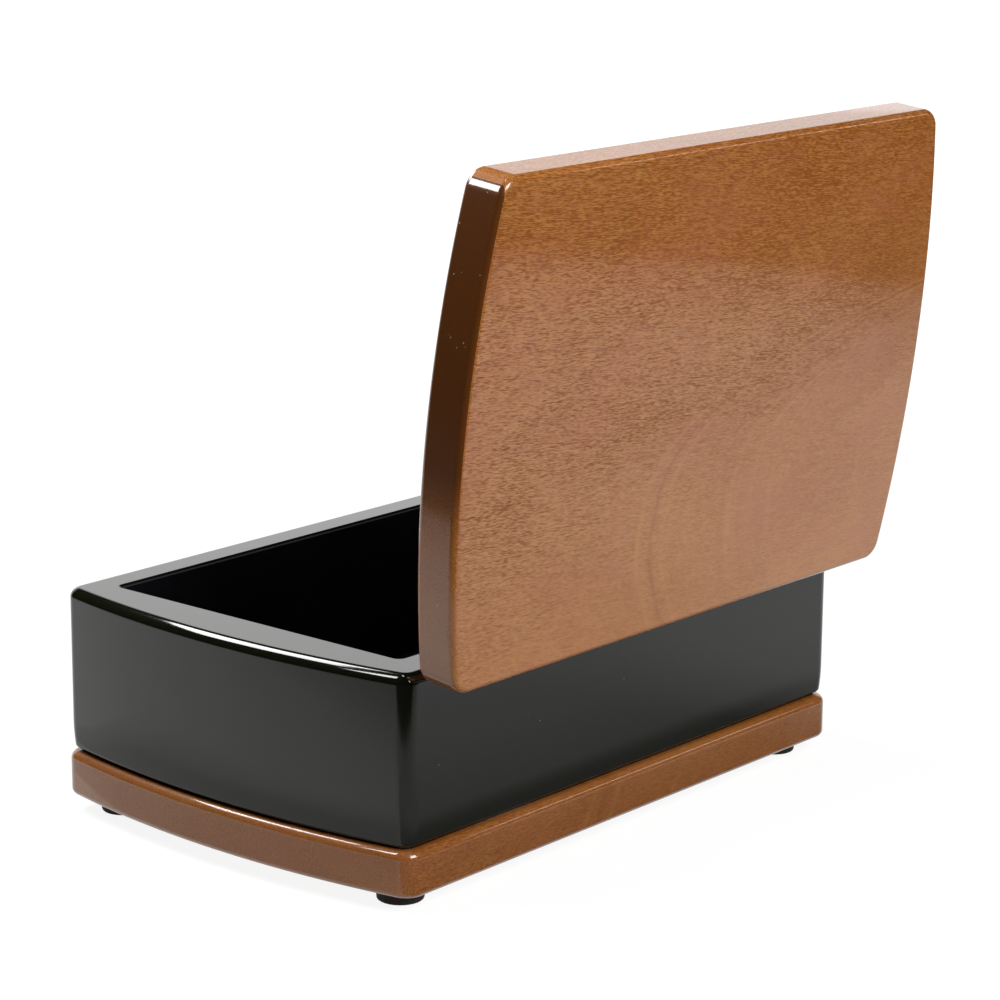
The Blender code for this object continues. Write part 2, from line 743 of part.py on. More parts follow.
def make_feet():
    foot = foot_mesh()
    foot.shade_smooth()
    foot.set_sharp_from_angle(angle=radians(35))
    dome = [(0, FOOT_SCREW_DOME),
            (FOOT_SCREW_HEAD * cos(pi / 4), FOOT_SCREW_DOME * cos(pi / 8)),
            (FOOT_SCREW_HEAD, FOOT_SCREW_DOME / 3),
            (FOOT_SCREW_HEAD, 0),
            (FOOT_SCREW_SHANK, 0)]
    screw = screw_mesh("foot_screw", dome, FOOT_SCREW_HEAD, FOOT_SCREW_SHANK,
                       FOOT_SCREW_LENGTH)
    for corner, x, y in foot_places():
        piece = new_piece("%s_foot" % corner, foot, rubber)
        piece.location = (x, y, 0)
        place_screw("%s_foot_screw" % corner, screw, steel, (x, y, foot_recess_depth), True)


make_walls()
make_base_board()
make_lid_board()
make_lining()
make_hinges()
make_hinge_screws()
make_base_screws()
make_feet()
bpy.context.view_layer.update()
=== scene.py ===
import bpy
import bmesh
import json
from math import atan2, cos, pi, radians, sin, sqrt
from mathutils import Matrix, Vector


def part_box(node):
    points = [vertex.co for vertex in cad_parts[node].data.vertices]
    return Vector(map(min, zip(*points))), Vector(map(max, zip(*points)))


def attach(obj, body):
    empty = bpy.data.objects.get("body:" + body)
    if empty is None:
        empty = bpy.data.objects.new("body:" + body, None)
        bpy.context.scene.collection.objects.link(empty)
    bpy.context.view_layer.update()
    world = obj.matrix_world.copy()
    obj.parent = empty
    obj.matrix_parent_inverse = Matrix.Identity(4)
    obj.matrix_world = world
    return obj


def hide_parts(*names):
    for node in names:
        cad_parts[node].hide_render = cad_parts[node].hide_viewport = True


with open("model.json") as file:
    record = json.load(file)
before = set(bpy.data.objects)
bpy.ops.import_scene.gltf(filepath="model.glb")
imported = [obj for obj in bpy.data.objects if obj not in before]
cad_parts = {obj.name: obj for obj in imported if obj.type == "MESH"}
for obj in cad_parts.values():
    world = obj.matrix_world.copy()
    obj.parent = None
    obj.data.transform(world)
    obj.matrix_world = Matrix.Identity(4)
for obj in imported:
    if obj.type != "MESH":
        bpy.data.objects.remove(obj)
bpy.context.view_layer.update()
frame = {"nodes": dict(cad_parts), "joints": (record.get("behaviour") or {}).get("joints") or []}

nodes = frame["nodes"]
lidJoint = frame["joints"][0]


# The few sizes that the frame's boxes don't hold
chestShape = {
    "endBow": 0.0093,
    "endOverhang": 0.0011,
    "bodyTopRound": 0.0040,
    "bodyCorner": 0.0070,
    "bodyTuck": 0.0006,
    "bodyTuckHeight": 0.013,
    "bodyFootRound": 0.0016,
    "bodyFootStep": (0.0008, 0.0012),
    "boardCorner": 0.0085,
    "boardRound": 0.0026,
    "baseTopRound": 0.0035,
    "leafThickness": 0.0012,
    "fitGap": 0.0003,
    "rimBevel": 0.0007,
    "openingCorner": 0.0028,
    "sinkGap": 0.0002,
    "cutOverrun": 0.002,
}

# Places read from the frame
baseLow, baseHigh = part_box("base_board")
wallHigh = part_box("front_wall")[1]
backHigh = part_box("back_wall")[1]
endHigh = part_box("right_end")[1]
baseBottom = baseLow[2]
baseTop = baseHigh[2]
rim = wallHigh[2]
middleY = (baseLow[1] + baseHigh[1]) / 2
halfDepth = backHigh[1] - middleY
baseHalfDepth = (baseHigh[1] - baseLow[1]) / 2
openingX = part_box("right_lining")[1][0]
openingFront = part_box("front_lining")[0][1]
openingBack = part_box("back_lining")[1][1]
pin = Vector(lidJoint["pos_m"])
lidSwing = -radians(lidJoint["range_deg"][1])
overrun = chestShape["cutOverrun"]
endRadius = (halfDepth ** 2 + chestShape["endBow"] ** 2) / (2 * chestShape["endBow"])
endCentre = endHigh[0] - endRadius
boardRadius = endRadius + chestShape["endOverhang"]
openLid = Matrix.Translation(pin) @ Matrix.Rotation(lidSwing, 4, "X") @ Matrix.Translation(-pin)
print("frame read: rim", round(rim, 4), "lid swing", round(lidSwing, 3))


# Camera
cameraLook = {
    "eye": (0.9347, 0.7970, 0.4234),
    "azimuthDeg": 130.45,
    "elevationDeg": 13.88,
    "rollDeg": 0.40,
    "lens": 115.66,
    "sensorWidth": 36,
}


def makeCamera(look):
    azimuth = radians(look["azimuthDeg"])
    elevation = radians(look["elevationDeg"])
    back = Vector((sin(azimuth) * cos(elevation), -cos(azimuth) * cos(elevation), sin(elevation)))
    data = bpy.data.cameras.new("photoCamera")
    data.lens = look["lens"]
    data.sensor_width = look["sensorWidth"]
    camera = bpy.data.objects.new("photoCamera", data)
    turn = back.to_track_quat("Z", "Y").to_matrix().to_4x4()
    roll = Matrix.Rotation(radians(look["rollDeg"]), 4, "Z")
    camera.matrix_world = Matrix.Translation(look["eye"]) @ turn @ roll
    bpy.context.scene.collection.objects.link(camera)
    bpy.context.scene.camera = camera


makeCamera(cameraLook)
print("camera placed")


# Shared shape helpers
def link(piece):
    bpy.context.scene.collection.objects.link(piece)
    return piece


def meshFrom(shape, name):
    mesh = bpy.data.meshes.new(name)
    shape.to_mesh(mesh)
    shape.free()
    return mesh


def arc(centre, radius, start, stop, steps):
    angles = [start + (stop - start) * i / steps for i in range(steps + 1)]
    return [(centre[0] + radius * cos(a), centre[1] + radius * sin(a)) for a in angles]


def chestPlan(depthHalf, radius, corner, inset=0.0, cornerSteps=14, bowSteps=48):
    # Straight long sides and bowed ends, about the middle of the chest
    cornerY = depthHalf - corner
    cornerX = endCentre + sqrt((radius - corner) ** 2 - cornerY ** 2)
    lean = atan2(cornerY, cornerX - endCentre)
    rounding = corner - inset
    end = arc((cornerX, -cornerY), rounding, -pi / 2, -lean, cornerSteps)
    end += arc((endCentre, 0), radius - inset, -lean, lean, bowSteps)[1:-1]
    end += arc((cornerX, cornerY), rounding, lean, pi / 2, cornerSteps)
    return end + [(-x, -y) for x, y in end]


def stackRings(outlines, name):
    # Joins outlines of (x, y, height), from the bottom up, into one closed block
    shape = bmesh.new()
    rings = [[shape.verts.new(point) for point in outline] for outline in outlines]
    count = len(rings[0])
    for lower, upper in zip(rings, rings[1:]):
        for i in range(count):
            after = (i + 1) % count
            shape.faces.new((lower[i], lower[after], upper[after], upper[i]))
    shape.faces.new(rings[-1])
    shape.faces.new(rings[0][::-1])
    return meshFrom(shape, name)


def loftPlan(sections, depthHalf, radius, corner, name):
    # The chest's plan at each (inset, height)
    outlines = []
    for inset, height in sections:
        plan = chestPlan(depthHalf, radius, corner, inset)
        outlines.append([(x, y + middleY, height) for x, y in plan])
    return stackRings(outlines, name)


def roundedSections(low, high, lowRound, highRound, steps=9):
    turns = [pi / 2 * i / steps for i in range(steps + 1)]
    lower = [(lowRound * (1 - sin(a)), low + lowRound * (1 - cos(a))) for a in turns]
    upper = [(highRound * (1 - cos(a)), high - highRound * (1 - sin(a))) for a in turns]
    return lower + upper


def openingOutline(grow, height, steps=8):
    # The opening in plan, with rounded corners, grown on every side
    corner = chestShape["openingCorner"]
    right = openingX - corner
    front = openingFront + corner
    back = openingBack - corner
    outline = []
    for x, y, start in ((right, front, -pi / 2), (right, back, 0),
                        (-right, back, pi / 2), (-right, front, pi)):
        outline += arc((x, y), corner + grow, start, start + pi / 2, steps)
    return [(x, y, height) for x, y in outline]


def openingBlock(top, flare=0.0):
    # The space inside the walls; a flare opens its last stretch up to the rim
    outlines = [openingOutline(0.0, baseTop - overrun), openingOutline(0.0, top)]
    if flare:
        outlines.append(openingOutline(2 * flare, top + 2 * flare))
    return stackRings(outlines, "opening")


def blockMesh(low, high):
    shape = bmesh.new()
    bmesh.ops.create_cube(shape, size=1)
    for corner in shape.verts:
        for axis in range(3):
            corner.co[axis] = low[axis] + (high[axis] - low[axis]) * (corner.co[axis] + 0.5)
    return meshFrom(shape, "block")


def carve(piece, cutters, operation="DIFFERENCE"):
    # Cuts the meshes out of the piece for good, or keeps only what lies inside them
    holders = []
    for mesh in cutters:
        holder = link(bpy.data.objects.new("cutter", mesh))
        modifier = piece.modifiers.new("cut", "BOOLEAN")
        modifier.operation = operation
        modifier.solver = "EXACT"
        modifier.object = holder
        holders.append(holder)
    bpy.context.view_layer.update()
    graph = bpy.context.evaluated_depsgraph_get()
    solid = bpy.data.meshes.new_from_object(piece.evaluated_get(graph), depsgraph=graph)
    piece.modifiers.clear()
    piece.data = solid
    for holder in holders:
        bpy.data.objects.remove(holder, do_unlink=True)


def softShade(piece, angle=32, faceWeight=60):
    piece.data.shade_smooth()
    piece.data.set_sharp_from_angle(angle=radians(angle))
    weighted = piece.modifiers.new("evenNormals", "WEIGHTED_NORMAL")
    weighted.keep_sharp = True
    weighted.weight = faceWeight


def dress(piece, material):
    piece.data.materials.clear()
    piece.data.materials.append(material)


# Shader helpers
def newMaterial(name):
    material = bpy.data.materials.new(name)
    material.use_nodes = True
    return material, material.node_tree, material.node_tree.nodes["Principled BSDF"]


def setInputs(node, values):
    for socketName, value in values.items():
        node.inputs[socketName].default_value = value


def newMatte(name, level):
    # A plain matt grey
    material, tree, shader = newMaterial(name)
    setInputs(shader, {"Base Color": (level, level, level, 1), "Roughness": 1.0,
                       "Specular IOR Level": 0.0})
    return material, tree, shader


def addNode(tree, kind, **settings):
    node = tree.nodes.new(kind)
    for key, value in settings.items():
        setattr(node, key, value)
    return node


def mathNode(tree, operation, first, second=None, third=None, clamp=False):
    node = addNode(tree, "ShaderNodeMath", operation=operation, use_clamp=clamp)
    for socket, value in zip(node.inputs, (first, second, third)):
        if value is None:
            continue
        if isinstance(value, (int, float)):
            socket.default_value = value
        else:
            tree.links.new(value, socket)
    return node.outputs[0]


def mixColor(tree, factor, first, second):
    node = addNode(tree, "ShaderNodeMix", data_type="RGBA")
    for name, value in (("Factor", factor), ("A", first), ("B", second)):
        socket = [s for s in node.inputs if s.name == name and s.enabled][0]
        if isinstance(value, tuple):
            socket.default_value = (*value, 1)
        else:
            tree.links.new(value, socket)
    return [s for s in node.outputs if s.enabled][0]


def mixShaders(tree, factor, first, second):
    mix = addNode(tree, "ShaderNodeMixShader")
    for socket, source in zip(mix.inputs, (factor, first.outputs[0], second.outputs[0])):
        tree.links.new(source, socket)
    tree.links.new(mix.outputs[0], tree.nodes["Material Output"].inputs[0])


def noiseNode(tree, vector, scale, detail, roughness, distortion=0.0):
    node = addNode(tree, "ShaderNodeTexNoise")
    setInputs(node, {"Scale": scale, "Detail": detail, "Roughness": roughness,
                     "Distortion": distortion})
    tree.links.new(vector, node.inputs["Vector"])
    return node.outputs["Fac"]


def stretchedNoise(tree, vector, scale, detail, roughness):
    # Noise with its own scale along, across and through the piece
    node = addNode(tree, "ShaderNodeMapping", vector_type="POINT")
    setInputs(node, {"Scale": scale})
    tree.links.new(vector, node.inputs["Vector"])
    return noiseNode(tree, node.outputs["Vector"], 1.0, detail, roughness)


def rampNode(tree, factor, stops):
    stops = list(stops)
    node = addNode(tree, "ShaderNodeValToRGB")
    elements = node.color_ramp.elements
    while len(elements) < len(stops):
        elements.new(1.0)
    for element, (position, color) in zip(elements, stops):
        element.position = position
        element.color = (*color, 1) if isinstance(color, tuple) else (color, color, color, 1)
    tree.links.new(factor, node.inputs["Fac"])
    return node.outputs["Color"]


def fadeNode(tree, value, spans):
    # A smooth step; the spans say where it starts and ends, and its value at each
    node = addNode(tree, "ShaderNodeMapRange", interpolation_type="SMOOTHSTEP")
    setInputs(node, dict(zip(("From Min", "From Max", "To Min", "To Max"), spans)))
    tree.links.new(value, node.inputs["Value"])
    return node.outputs[0]


def bumpFrom(tree, height, strength, distance):
    node = addNode(tree, "ShaderNodeBump")
    setInputs(node, {"Strength": strength, "Distance": distance})
    tree.links.new(height, node.inputs["Height"])
    return node.outputs["Normal"]


def newGroup(name, inputs, outputs):
    group = bpy.data.node_groups.new(name, "ShaderNodeTree")
    for socketName, kind, default in inputs:
        socket = group.interface.new_socket(socketName, in_out="INPUT", socket_type=kind)
        if default is not None:
            socket.default_value = default
    for socketName, kind in outputs:
        group.interface.new_socket(socketName, in_out="OUTPUT", socket_type=kind)
    return group, group.nodes.new("NodeGroupInput"), group.nodes.new("NodeGroupOutput")


def useGroup(tree, group, vector, values):
    node = addNode(tree, "ShaderNodeGroup")
    node.node_tree = group
    setInputs(node, values)
    tree.links.new(vector, node.inputs["Vector"])
    return node


def splitNode(tree, vector):
    node = addNode(tree, "ShaderNodeSeparateXYZ")
    tree.links.new(vector, node.inputs[0])
    return node.outputs


def objectPlace(tree):
    return addNode(tree, "ShaderNodeTexCoord").outputs["Object"]


# The clearest growth rings: how far each lies along the board, and its strength
archLook = {
    "paleLines": ((-0.047, 0.45), (-0.034, 0.50), (-0.021, 0.50), (0.019, 0.80), (0.034, 0.90)),
    "darkLines": ((-0.040, 0.22), (-0.028, 0.20), (-0.016, 0.28), (0.0262, 0.80)),
    "halfLine": 0.0022,
    "reach": 0.08,
}


def archLines(tree, phase, lines):
    # One soft line at each place across the arches
    spread = 2 * archLook["reach"]
    half = archLook["halfLine"] / spread
    stops = [(0.0, 0.0)]
    for place, strength in lines:
        middle = place / spread + 0.5
        stops += [(middle - half, 0.0), (middle, strength), (middle + half, 0.0)]
    across = mathNode(tree, "MULTIPLY_ADD", phase, 1 / spread, 0.5, clamp=True)
    return rampNode(tree, across, stops)


# Each noise is its scale along, across and through the board, its detail and its roughness.
# Each level is a gain and a shift.
grainLook = {
    "wanderNoise": ((14.0, 34.0, 34.0), 3.0, 0.5),
    "wanderReach": 0.010,
    "armPower": 2.6,
    "depthSlant": 0.6,
    "lineScale": 88.0,
    "lineDetail": 2.0,
    "crestStart": 0.54,
    "crestGain": 1.2,
    "insideLevel": (-22.0, 0.10),
    "patchNoise": ((34.0, 50.0, 50.0), 2.0, 0.5),
    "patchLevel": (3.4, -1.0),
    "leanNoise": ((9.0, 24.0, 24.0), 2.0, 0.5),
    "leanLevel": (0.005, -0.0025),
    "tilt": 0.075,
    "clearAlong": (4.5, 0.5),
    "clearAcross": -8.0,
    "clearLevel": (1.02, 0.50),
    "fibreNoise": ((110.0, 2400.0, 2400.0), 3.0, 0.62),
    "speckleNoise": ((420.0, 3400.0, 3400.0), 0.5, 0.62),
    "dashNoise": ((150.0, 2000.0, 2000.0), 1.0, 0.5),
    "crowdNoise": ((16.0, 38.0, 38.0), 2.0, 0.5),
    "crowdLevel": (-0.26, 0.70),
    "poreGain": 7.0,
    "gatherLevel": (0.75, 0.25),
    "cloudNoise": ((13.0, 26.0, 26.0), 4.0, 0.55),
    "blushNoise": ((24.0, 50.0, 50.0), 3.0, 0.6),
    "blushLevel": (4.0, -1.8),
}


# Shared effect: stained grain with nested arches, long fibres and short open pores
def makeGrainGroup(look):
    group, source, result = newGroup(
        "woodGrain",
        [("Vector", "NodeSocketVector", None), ("Arch Place", "NodeSocketFloat", 0.0),
         ("Arch Height", "NodeSocketFloat", 0.0), ("Upper Reach", "NodeSocketFloat", 0.13),
         ("Lower Reach", "NodeSocketFloat", 0.24)],
        [("Pale Rings", "NodeSocketFloat"), ("Dark Rings", "NodeSocketFloat"),
         ("Fibres", "NodeSocketFloat"), ("Speckle", "NodeSocketFloat"),
         ("Pores", "NodeSocketFloat"), ("Clouds", "NodeSocketFloat"),
         ("Blush", "NodeSocketFloat")])
    vector = source.outputs["Vector"]
    split = splitNode(group, vector)
    # Growth rings cut at a slant show as arches that open along the board
    wander = stretchedNoise(group, vector, *look["wanderNoise"])
    sway = mathNode(group, "MULTIPLY", mathNode(group, "SUBTRACT", wander, 0.5),
                    look["wanderReach"])
    across = mathNode(group, "SUBTRACT", split["Y"], source.outputs["Arch Height"])
    arms = []
    for side, reachName in (("MINIMUM", "Upper Reach"), ("MAXIMUM", "Lower Reach")):
        arm = mathNode(group, "DIVIDE", mathNode(group, side, across, 0.0),
                       source.outputs[reachName])
        arms.append(mathNode(group, "POWER", mathNode(group, "ABSOLUTE", arm),
                             look["armPower"]))
    bend = mathNode(group, "ADD", *arms)
    along = mathNode(group, "SUBTRACT", split["X"], source.outputs["Arch Place"])
    depth = mathNode(group, "MULTIPLY", split["Z"], look["depthSlant"])
    phase = mathNode(group, "ADD", mathNode(group, "ADD", along, bend),
                     mathNode(group, "ADD", depth, sway))
    line = addNode(group, "ShaderNodeTexNoise", noise_dimensions="1D")
    setInputs(line, {"Scale": look["lineScale"], "Detail": look["lineDetail"]})
    group.links.new(phase, line.inputs["W"])
    crest = mathNode(group, "SUBTRACT", line.outputs["Fac"], look["crestStart"])
    crest = mathNode(group, "MULTIPLY", crest, look["crestGain"], clamp=True)
    inside = mathNode(group, "MULTIPLY_ADD", phase, *look["insideLevel"], clamp=True)
    patchy = stretchedNoise(group, vector, *look["patchNoise"])
    broken = mathNode(group, "MULTIPLY_ADD", patchy, *look["patchLevel"], clamp=True)
    pale = mathNode(group, "MULTIPLY", archLines(group, phase, archLook["paleLines"]), broken)
    pale = mathNode(group, "MAXIMUM", pale, mathNode(group, "MULTIPLY", crest, inside))
    dark = mathNode(group, "MULTIPLY", archLines(group, phase, archLook["darkLines"]), broken)
    group.links.new(pale, result.inputs["Pale Rings"])
    group.links.new(dark, result.inputs["Dark Rings"])
    # Fibres and pores run at a slight tilt and lean with a slow wave
    lean = stretchedNoise(group, vector, *look["leanNoise"])
    drift = addNode(group, "ShaderNodeCombineXYZ")
    tilt = mathNode(group, "MULTIPLY", split["X"], look["tilt"])
    waves = mathNode(group, "MULTIPLY_ADD", lean, *look["leanLevel"])
    group.links.new(mathNode(group, "ADD", tilt, waves), drift.inputs["Y"])
    wavy = addNode(group, "ShaderNodeVectorMath", operation="ADD")
    group.links.new(vector, wavy.inputs[0])
    group.links.new(drift.outputs[0], wavy.inputs[1])
    waved = wavy.outputs[0]
    # Every mark is clearer towards the front edge and the +X end
    toward = mathNode(group, "MULTIPLY_ADD", split["X"], *look["clearAlong"])
    toward = mathNode(group, "MULTIPLY_ADD", split["Y"], look["clearAcross"], toward, clamp=True)
    clearness = mathNode(group, "MULTIPLY_ADD", toward, *look["clearLevel"])
    for outputName, noise in (("Fibres", "fibreNoise"), ("Speckle", "speckleNoise")):
        marks = stretchedNoise(group, waved, *look[noise])
        swing = mathNode(group, "MULTIPLY", mathNode(group, "SUBTRACT", marks, 0.5), clearness)
        group.links.new(mathNode(group, "ADD", swing, 0.5), result.inputs[outputName])
    dashes = stretchedNoise(group, waved, *look["dashNoise"])
    crowd = stretchedNoise(group, vector, *look["crowdNoise"])
    poreEdge = mathNode(group, "MULTIPLY_ADD", crowd, *look["crowdLevel"])
    deep = mathNode(group, "SUBTRACT", dashes, poreEdge, clamp=True)
    pores = mathNode(group, "MULTIPLY", deep, look["poreGain"], clamp=True)
    gather = mathNode(group, "MULTIPLY_ADD", toward, *look["gatherLevel"])
    group.links.new(mathNode(group, "MULTIPLY", pores, gather), result.inputs["Pores"])
    clouds = stretchedNoise(group, vector, *look["cloudNoise"])
    group.links.new(clouds, result.inputs["Clouds"])
    blush = stretchedNoise(group, vector, *look["blushNoise"])
    group.links.new(mathNode(group, "MULTIPLY_ADD", blush, *look["blushLevel"], clamp=True),
                    result.inputs["Blush"])
    return group


# Shared effect: sparse dust specks that settle on a glossy coat
dustLook = {"smallest": 0.6}


def makeDustGroup(look):
    group, source, result = newGroup(
        "dustSpecks",
        [("Vector", "NodeSocketVector", None), ("Density", "NodeSocketFloat", 420.0),
         ("Size", "NodeSocketFloat", 0.07), ("Share", "NodeSocketFloat", 0.12)],
        [("Mask", "NodeSocketFloat")])
    cells = addNode(group, "ShaderNodeTexVoronoi", feature="F1")
    group.links.new(source.outputs["Vector"], cells.inputs["Vector"])
    group.links.new(source.outputs["Density"], cells.inputs["Scale"])
    pick = addNode(group, "ShaderNodeSeparateColor")
    group.links.new(cells.outputs["Color"], pick.inputs[0])
    size = mathNode(group, "MULTIPLY", source.outputs["Size"],
                    mathNode(group, "ADD", pick.outputs[1], look["smallest"]))
    near = mathNode(group, "LESS_THAN", cells.outputs["Distance"], size)
    keep = mathNode(group, "LESS_THAN", pick.outputs[0], source.outputs["Share"])
    group.links.new(mathNode(group, "MULTIPLY", near, keep), result.inputs["Mask"])
    return group


grainGroup = makeGrainGroup(grainLook)
dustGroup = makeDustGroup(dustLook)


def facingMasks(tree, look):
    # 1 on the faces that look along the chest, and 1 on the broad faces
    way = splitNode(tree, addNode(tree, "ShaderNodeTexCoord").outputs["Normal"])
    along, across, upright = [mathNode(tree, "ABSOLUTE", way[axis]) for axis in "XYZ"]
    alongMost = mathNode(tree, "MULTIPLY_ADD", across, look["acrossShare"], along)
    return (mathNode(tree, "GREATER_THAN", alongMost, look["endFacing"]),
            mathNode(tree, "GREATER_THAN", upright, look["broadFacing"]))


# Brown stained boards under clear gloss; the end grain takes the stain darker, and painted shade
# darkens the lid's ends further, fading out towards the hinges
woodLook = {
    "paleColor": (0.430, 0.175, 0.047),
    "midColor": (0.330, 0.118, 0.025),
    "deepColor": (0.225, 0.063, 0.006),
    "poreColor": (0.120, 0.036, 0.007),
    "ringColor": (0.430, 0.185, 0.055),
    "blushColor": (0.350, 0.098, 0.040),
    # Colour for the darker end grain and for painted shade
    "stainAndShadeColor": (0.080, 0.022, 0.002),
    "dustColor": (0.60, 0.50, 0.42),
    "toneShares": (("Fibres", 0.34), ("Clouds", 0.20), ("Speckle", 0.46)),
    "toneStops": ((0.41, "deepColor"), (0.50, "midColor"), (0.60, "paleColor")),
    "marks": (("Pale Rings", 0.75, "ringColor"), ("Dark Rings", 0.65, "deepColor"),
              ("Blush", 0.40, "blushColor"), ("Pores", 0.45, "poreColor")),
    "palerShift": -0.008,
    "facing": {"acrossShare": -0.5, "endFacing": 0.42, "broadFacing": 0.75},
    # Where the painted shade on the ends fades out along the board, and its strength at each side
    "paintedEndShadeFade": (0.008, 0.038, 1.0, 0.24),
    "roughness": 0.38,
    "specular": 0.2,
    "coatRoughness": 0.04,
    "coatIor": 1.5,
    "coatSink": (-6.0, 3.03),
    "fibreHeight": 0.4,
    "bump": (0.10, 0.00006),
    "arches": {"Arch Place": 0.0054, "Arch Height": 0.045, "Upper Reach": 0.136,
               "Lower Reach": 0.240},
}

# How much painted shade darkens each board all over, how much darker its ends are from end grain
# and painted shade, and how much painted light makes it paler towards the hinges
lidBoardLook = {"shade": 0.0, "endStainAndPaintedShade": 0.93, "paler": 0.80}
baseBoardLook = {"shade": 0.32, "endStainAndPaintedShade": 0.02, "paler": 0.0}


def makeWood(name, look, board):
    material, tree, shader = newMaterial(name)
    place = objectPlace(tree)
    grain = useGroup(tree, grainGroup, place, look["arches"])
    dust = useGroup(tree, dustGroup, place, {})
    tone = 0.0
    for outputName, weight in look["toneShares"]:
        tone = mathNode(tree, "MULTIPLY_ADD", grain.outputs[outputName], weight, tone)
    split = splitNode(tree, place)
    # Painted light: the board is made lighter towards the hinges
    paler = mathNode(tree, "MULTIPLY_ADD", split["Y"], board["paler"], look["palerShift"],
                     clamp=True)
    tone = mathNode(tree, "ADD", tone, paler)
    color = rampNode(tree, tone, [(stop, look[key]) for stop, key in look["toneStops"]])
    for outputName, strength, key in look["marks"]:
        share = mathNode(tree, "MULTIPLY", grain.outputs[outputName], strength)
        color = mixColor(tree, share, color, look[key])
    ends, broad = facingMasks(tree, look["facing"])
    # Painted shade on the ends, fading out towards the hinges, on top of the darker end grain;
    # the shade share adds painted shade all over
    fade = fadeNode(tree, split["Y"], look["paintedEndShadeFade"])
    stainAndShadeShare = mathNode(tree, "MULTIPLY", mathNode(tree, "MULTIPLY", ends, fade),
                      board["endStainAndPaintedShade"])
    stainAndShadeShare = mathNode(tree, "ADD", stainAndShadeShare, board["shade"])
    color = mixColor(tree, stainAndShadeShare, color, look["stainAndShadeColor"])
    specks = mathNode(tree, "MULTIPLY", dust.outputs["Mask"], ends)
    color = mixColor(tree, specks, color, look["dustColor"])
    tree.links.new(color, shader.inputs["Base Color"])
    setInputs(shader, {"Roughness": look["roughness"], "Specular IOR Level": look["specular"],
                       "Coat Roughness": look["coatRoughness"], "Coat IOR": look["coatIor"]})
    # On the broad faces the coat sinks over the dark marks and mirrors less there
    sunken = mathNode(tree, "MULTIPLY_ADD", tone, *look["coatSink"], clamp=True)
    sunken = mathNode(tree, "MULTIPLY", sunken, broad)
    tree.links.new(mathNode(tree, "SUBTRACT", 1.0, sunken), shader.inputs["Coat Weight"])
    height = mathNode(tree, "MULTIPLY", grain.outputs["Fibres"], look["fibreHeight"])
    height = mathNode(tree, "SUBTRACT", height, grain.outputs["Pores"])
    tree.links.new(bumpFrom(tree, height, *look["bump"]), shader.inputs["Normal"])
    return material


# Black lacquer. Each plain noise is its scale, detail and roughness; each bump is its strength
# and its depth.
lacquerLook = {
    "color": (0.0056, 0.0064, 0.0032),
    "dustColor": (0.20, 0.22, 0.20),
    "dust": {"Density": 300.0, "Size": 0.05, "Share": 0.03},
    "hazeNoise": (38.0, 4.0, 0.6),
    "haze": 0.05,
    "roughness": 0.05,
    "ior": 1.5,
    "peelNoise": (520.0, 2.0, 0.5),
    "bump": (0.05, 0.0001),
}


def makeLacquer(look):
    material, tree, shader = newMaterial("blackLacquer")
    place = objectPlace(tree)
    dust = useGroup(tree, dustGroup, place, look["dust"])
    color = mixColor(tree, dust.outputs["Mask"], look["color"], look["dustColor"])
    tree.links.new(color, shader.inputs["Base Color"])
    haze = noiseNode(tree, place, *look["hazeNoise"])
    tree.links.new(mathNode(tree, "MULTIPLY_ADD", haze, look["haze"], look["roughness"]),
                   shader.inputs["Roughness"])
    setInputs(shader, {"IOR": look["ior"]})
    peel = noiseNode(tree, place, *look["peelNoise"])
    tree.links.new(bumpFrom(tree, peel, *look["bump"]), shader.inputs["Normal"])
    return material


# Short black felt
feltLook = {
    "color": (0.0030, 0.0030, 0.0040),
    "lift": (0.0110, 0.0115, 0.0155),
    "colorStops": (0.12, 0.55),
    "fibreNoise": (1800.0, 3.0, 0.7, 1.5),
    "patchNoise": (24.0, 3.0, 0.6),
    "roughness": 1.0,
    "specular": 0.05,
    "sheen": 0.12,
    "sheenRoughness": 0.45,
    "sheenTint": (0.35, 0.40, 0.52, 1),
    "bump": (0.6, 0.0004),
}


def makeFelt(look):
    material, tree, shader = newMaterial("blackFelt")
    place = objectPlace(tree)
    fibres = noiseNode(tree, place, *look["fibreNoise"])
    patches = noiseNode(tree, place, *look["patchNoise"])
    tone = mathNode(tree, "MULTIPLY", fibres, patches)
    color = rampNode(tree, tone, zip(look["colorStops"], (look["color"], look["lift"])))
    tree.links.new(color, shader.inputs["Base Color"])
    setInputs(shader, {"Roughness": look["roughness"], "Specular IOR Level": look["specular"],
                       "Sheen Weight": look["sheen"], "Sheen Roughness": look["sheenRoughness"],
                       "Sheen Tint": look["sheenTint"]})
    tree.links.new(bumpFrom(tree, fibres, *look["bump"]), shader.inputs["Normal"])
    return material


# Metals, brushed and slightly tarnished
brassLook = {"color": (0.76, 0.52, 0.20), "dark": (0.45, 0.27, 0.09), "roughness": 0.26}
steelLook = {"color": (0.56, 0.56, 0.57), "dark": (0.34, 0.34, 0.35), "roughness": 0.32}
metalFinish = {
    "brushNoise": ((300.0, 2600.0, 2600.0), 3.0, 0.6),
    "brushShare": 0.3,
    "tarnishNoise": (190.0, 4.0, 0.6),
    "tarnishShare": 0.7,
    "colorStops": (0.30, 0.55),
    "roughnessSwing": 0.2,
    "bump": (0.1, 0.00005),
}


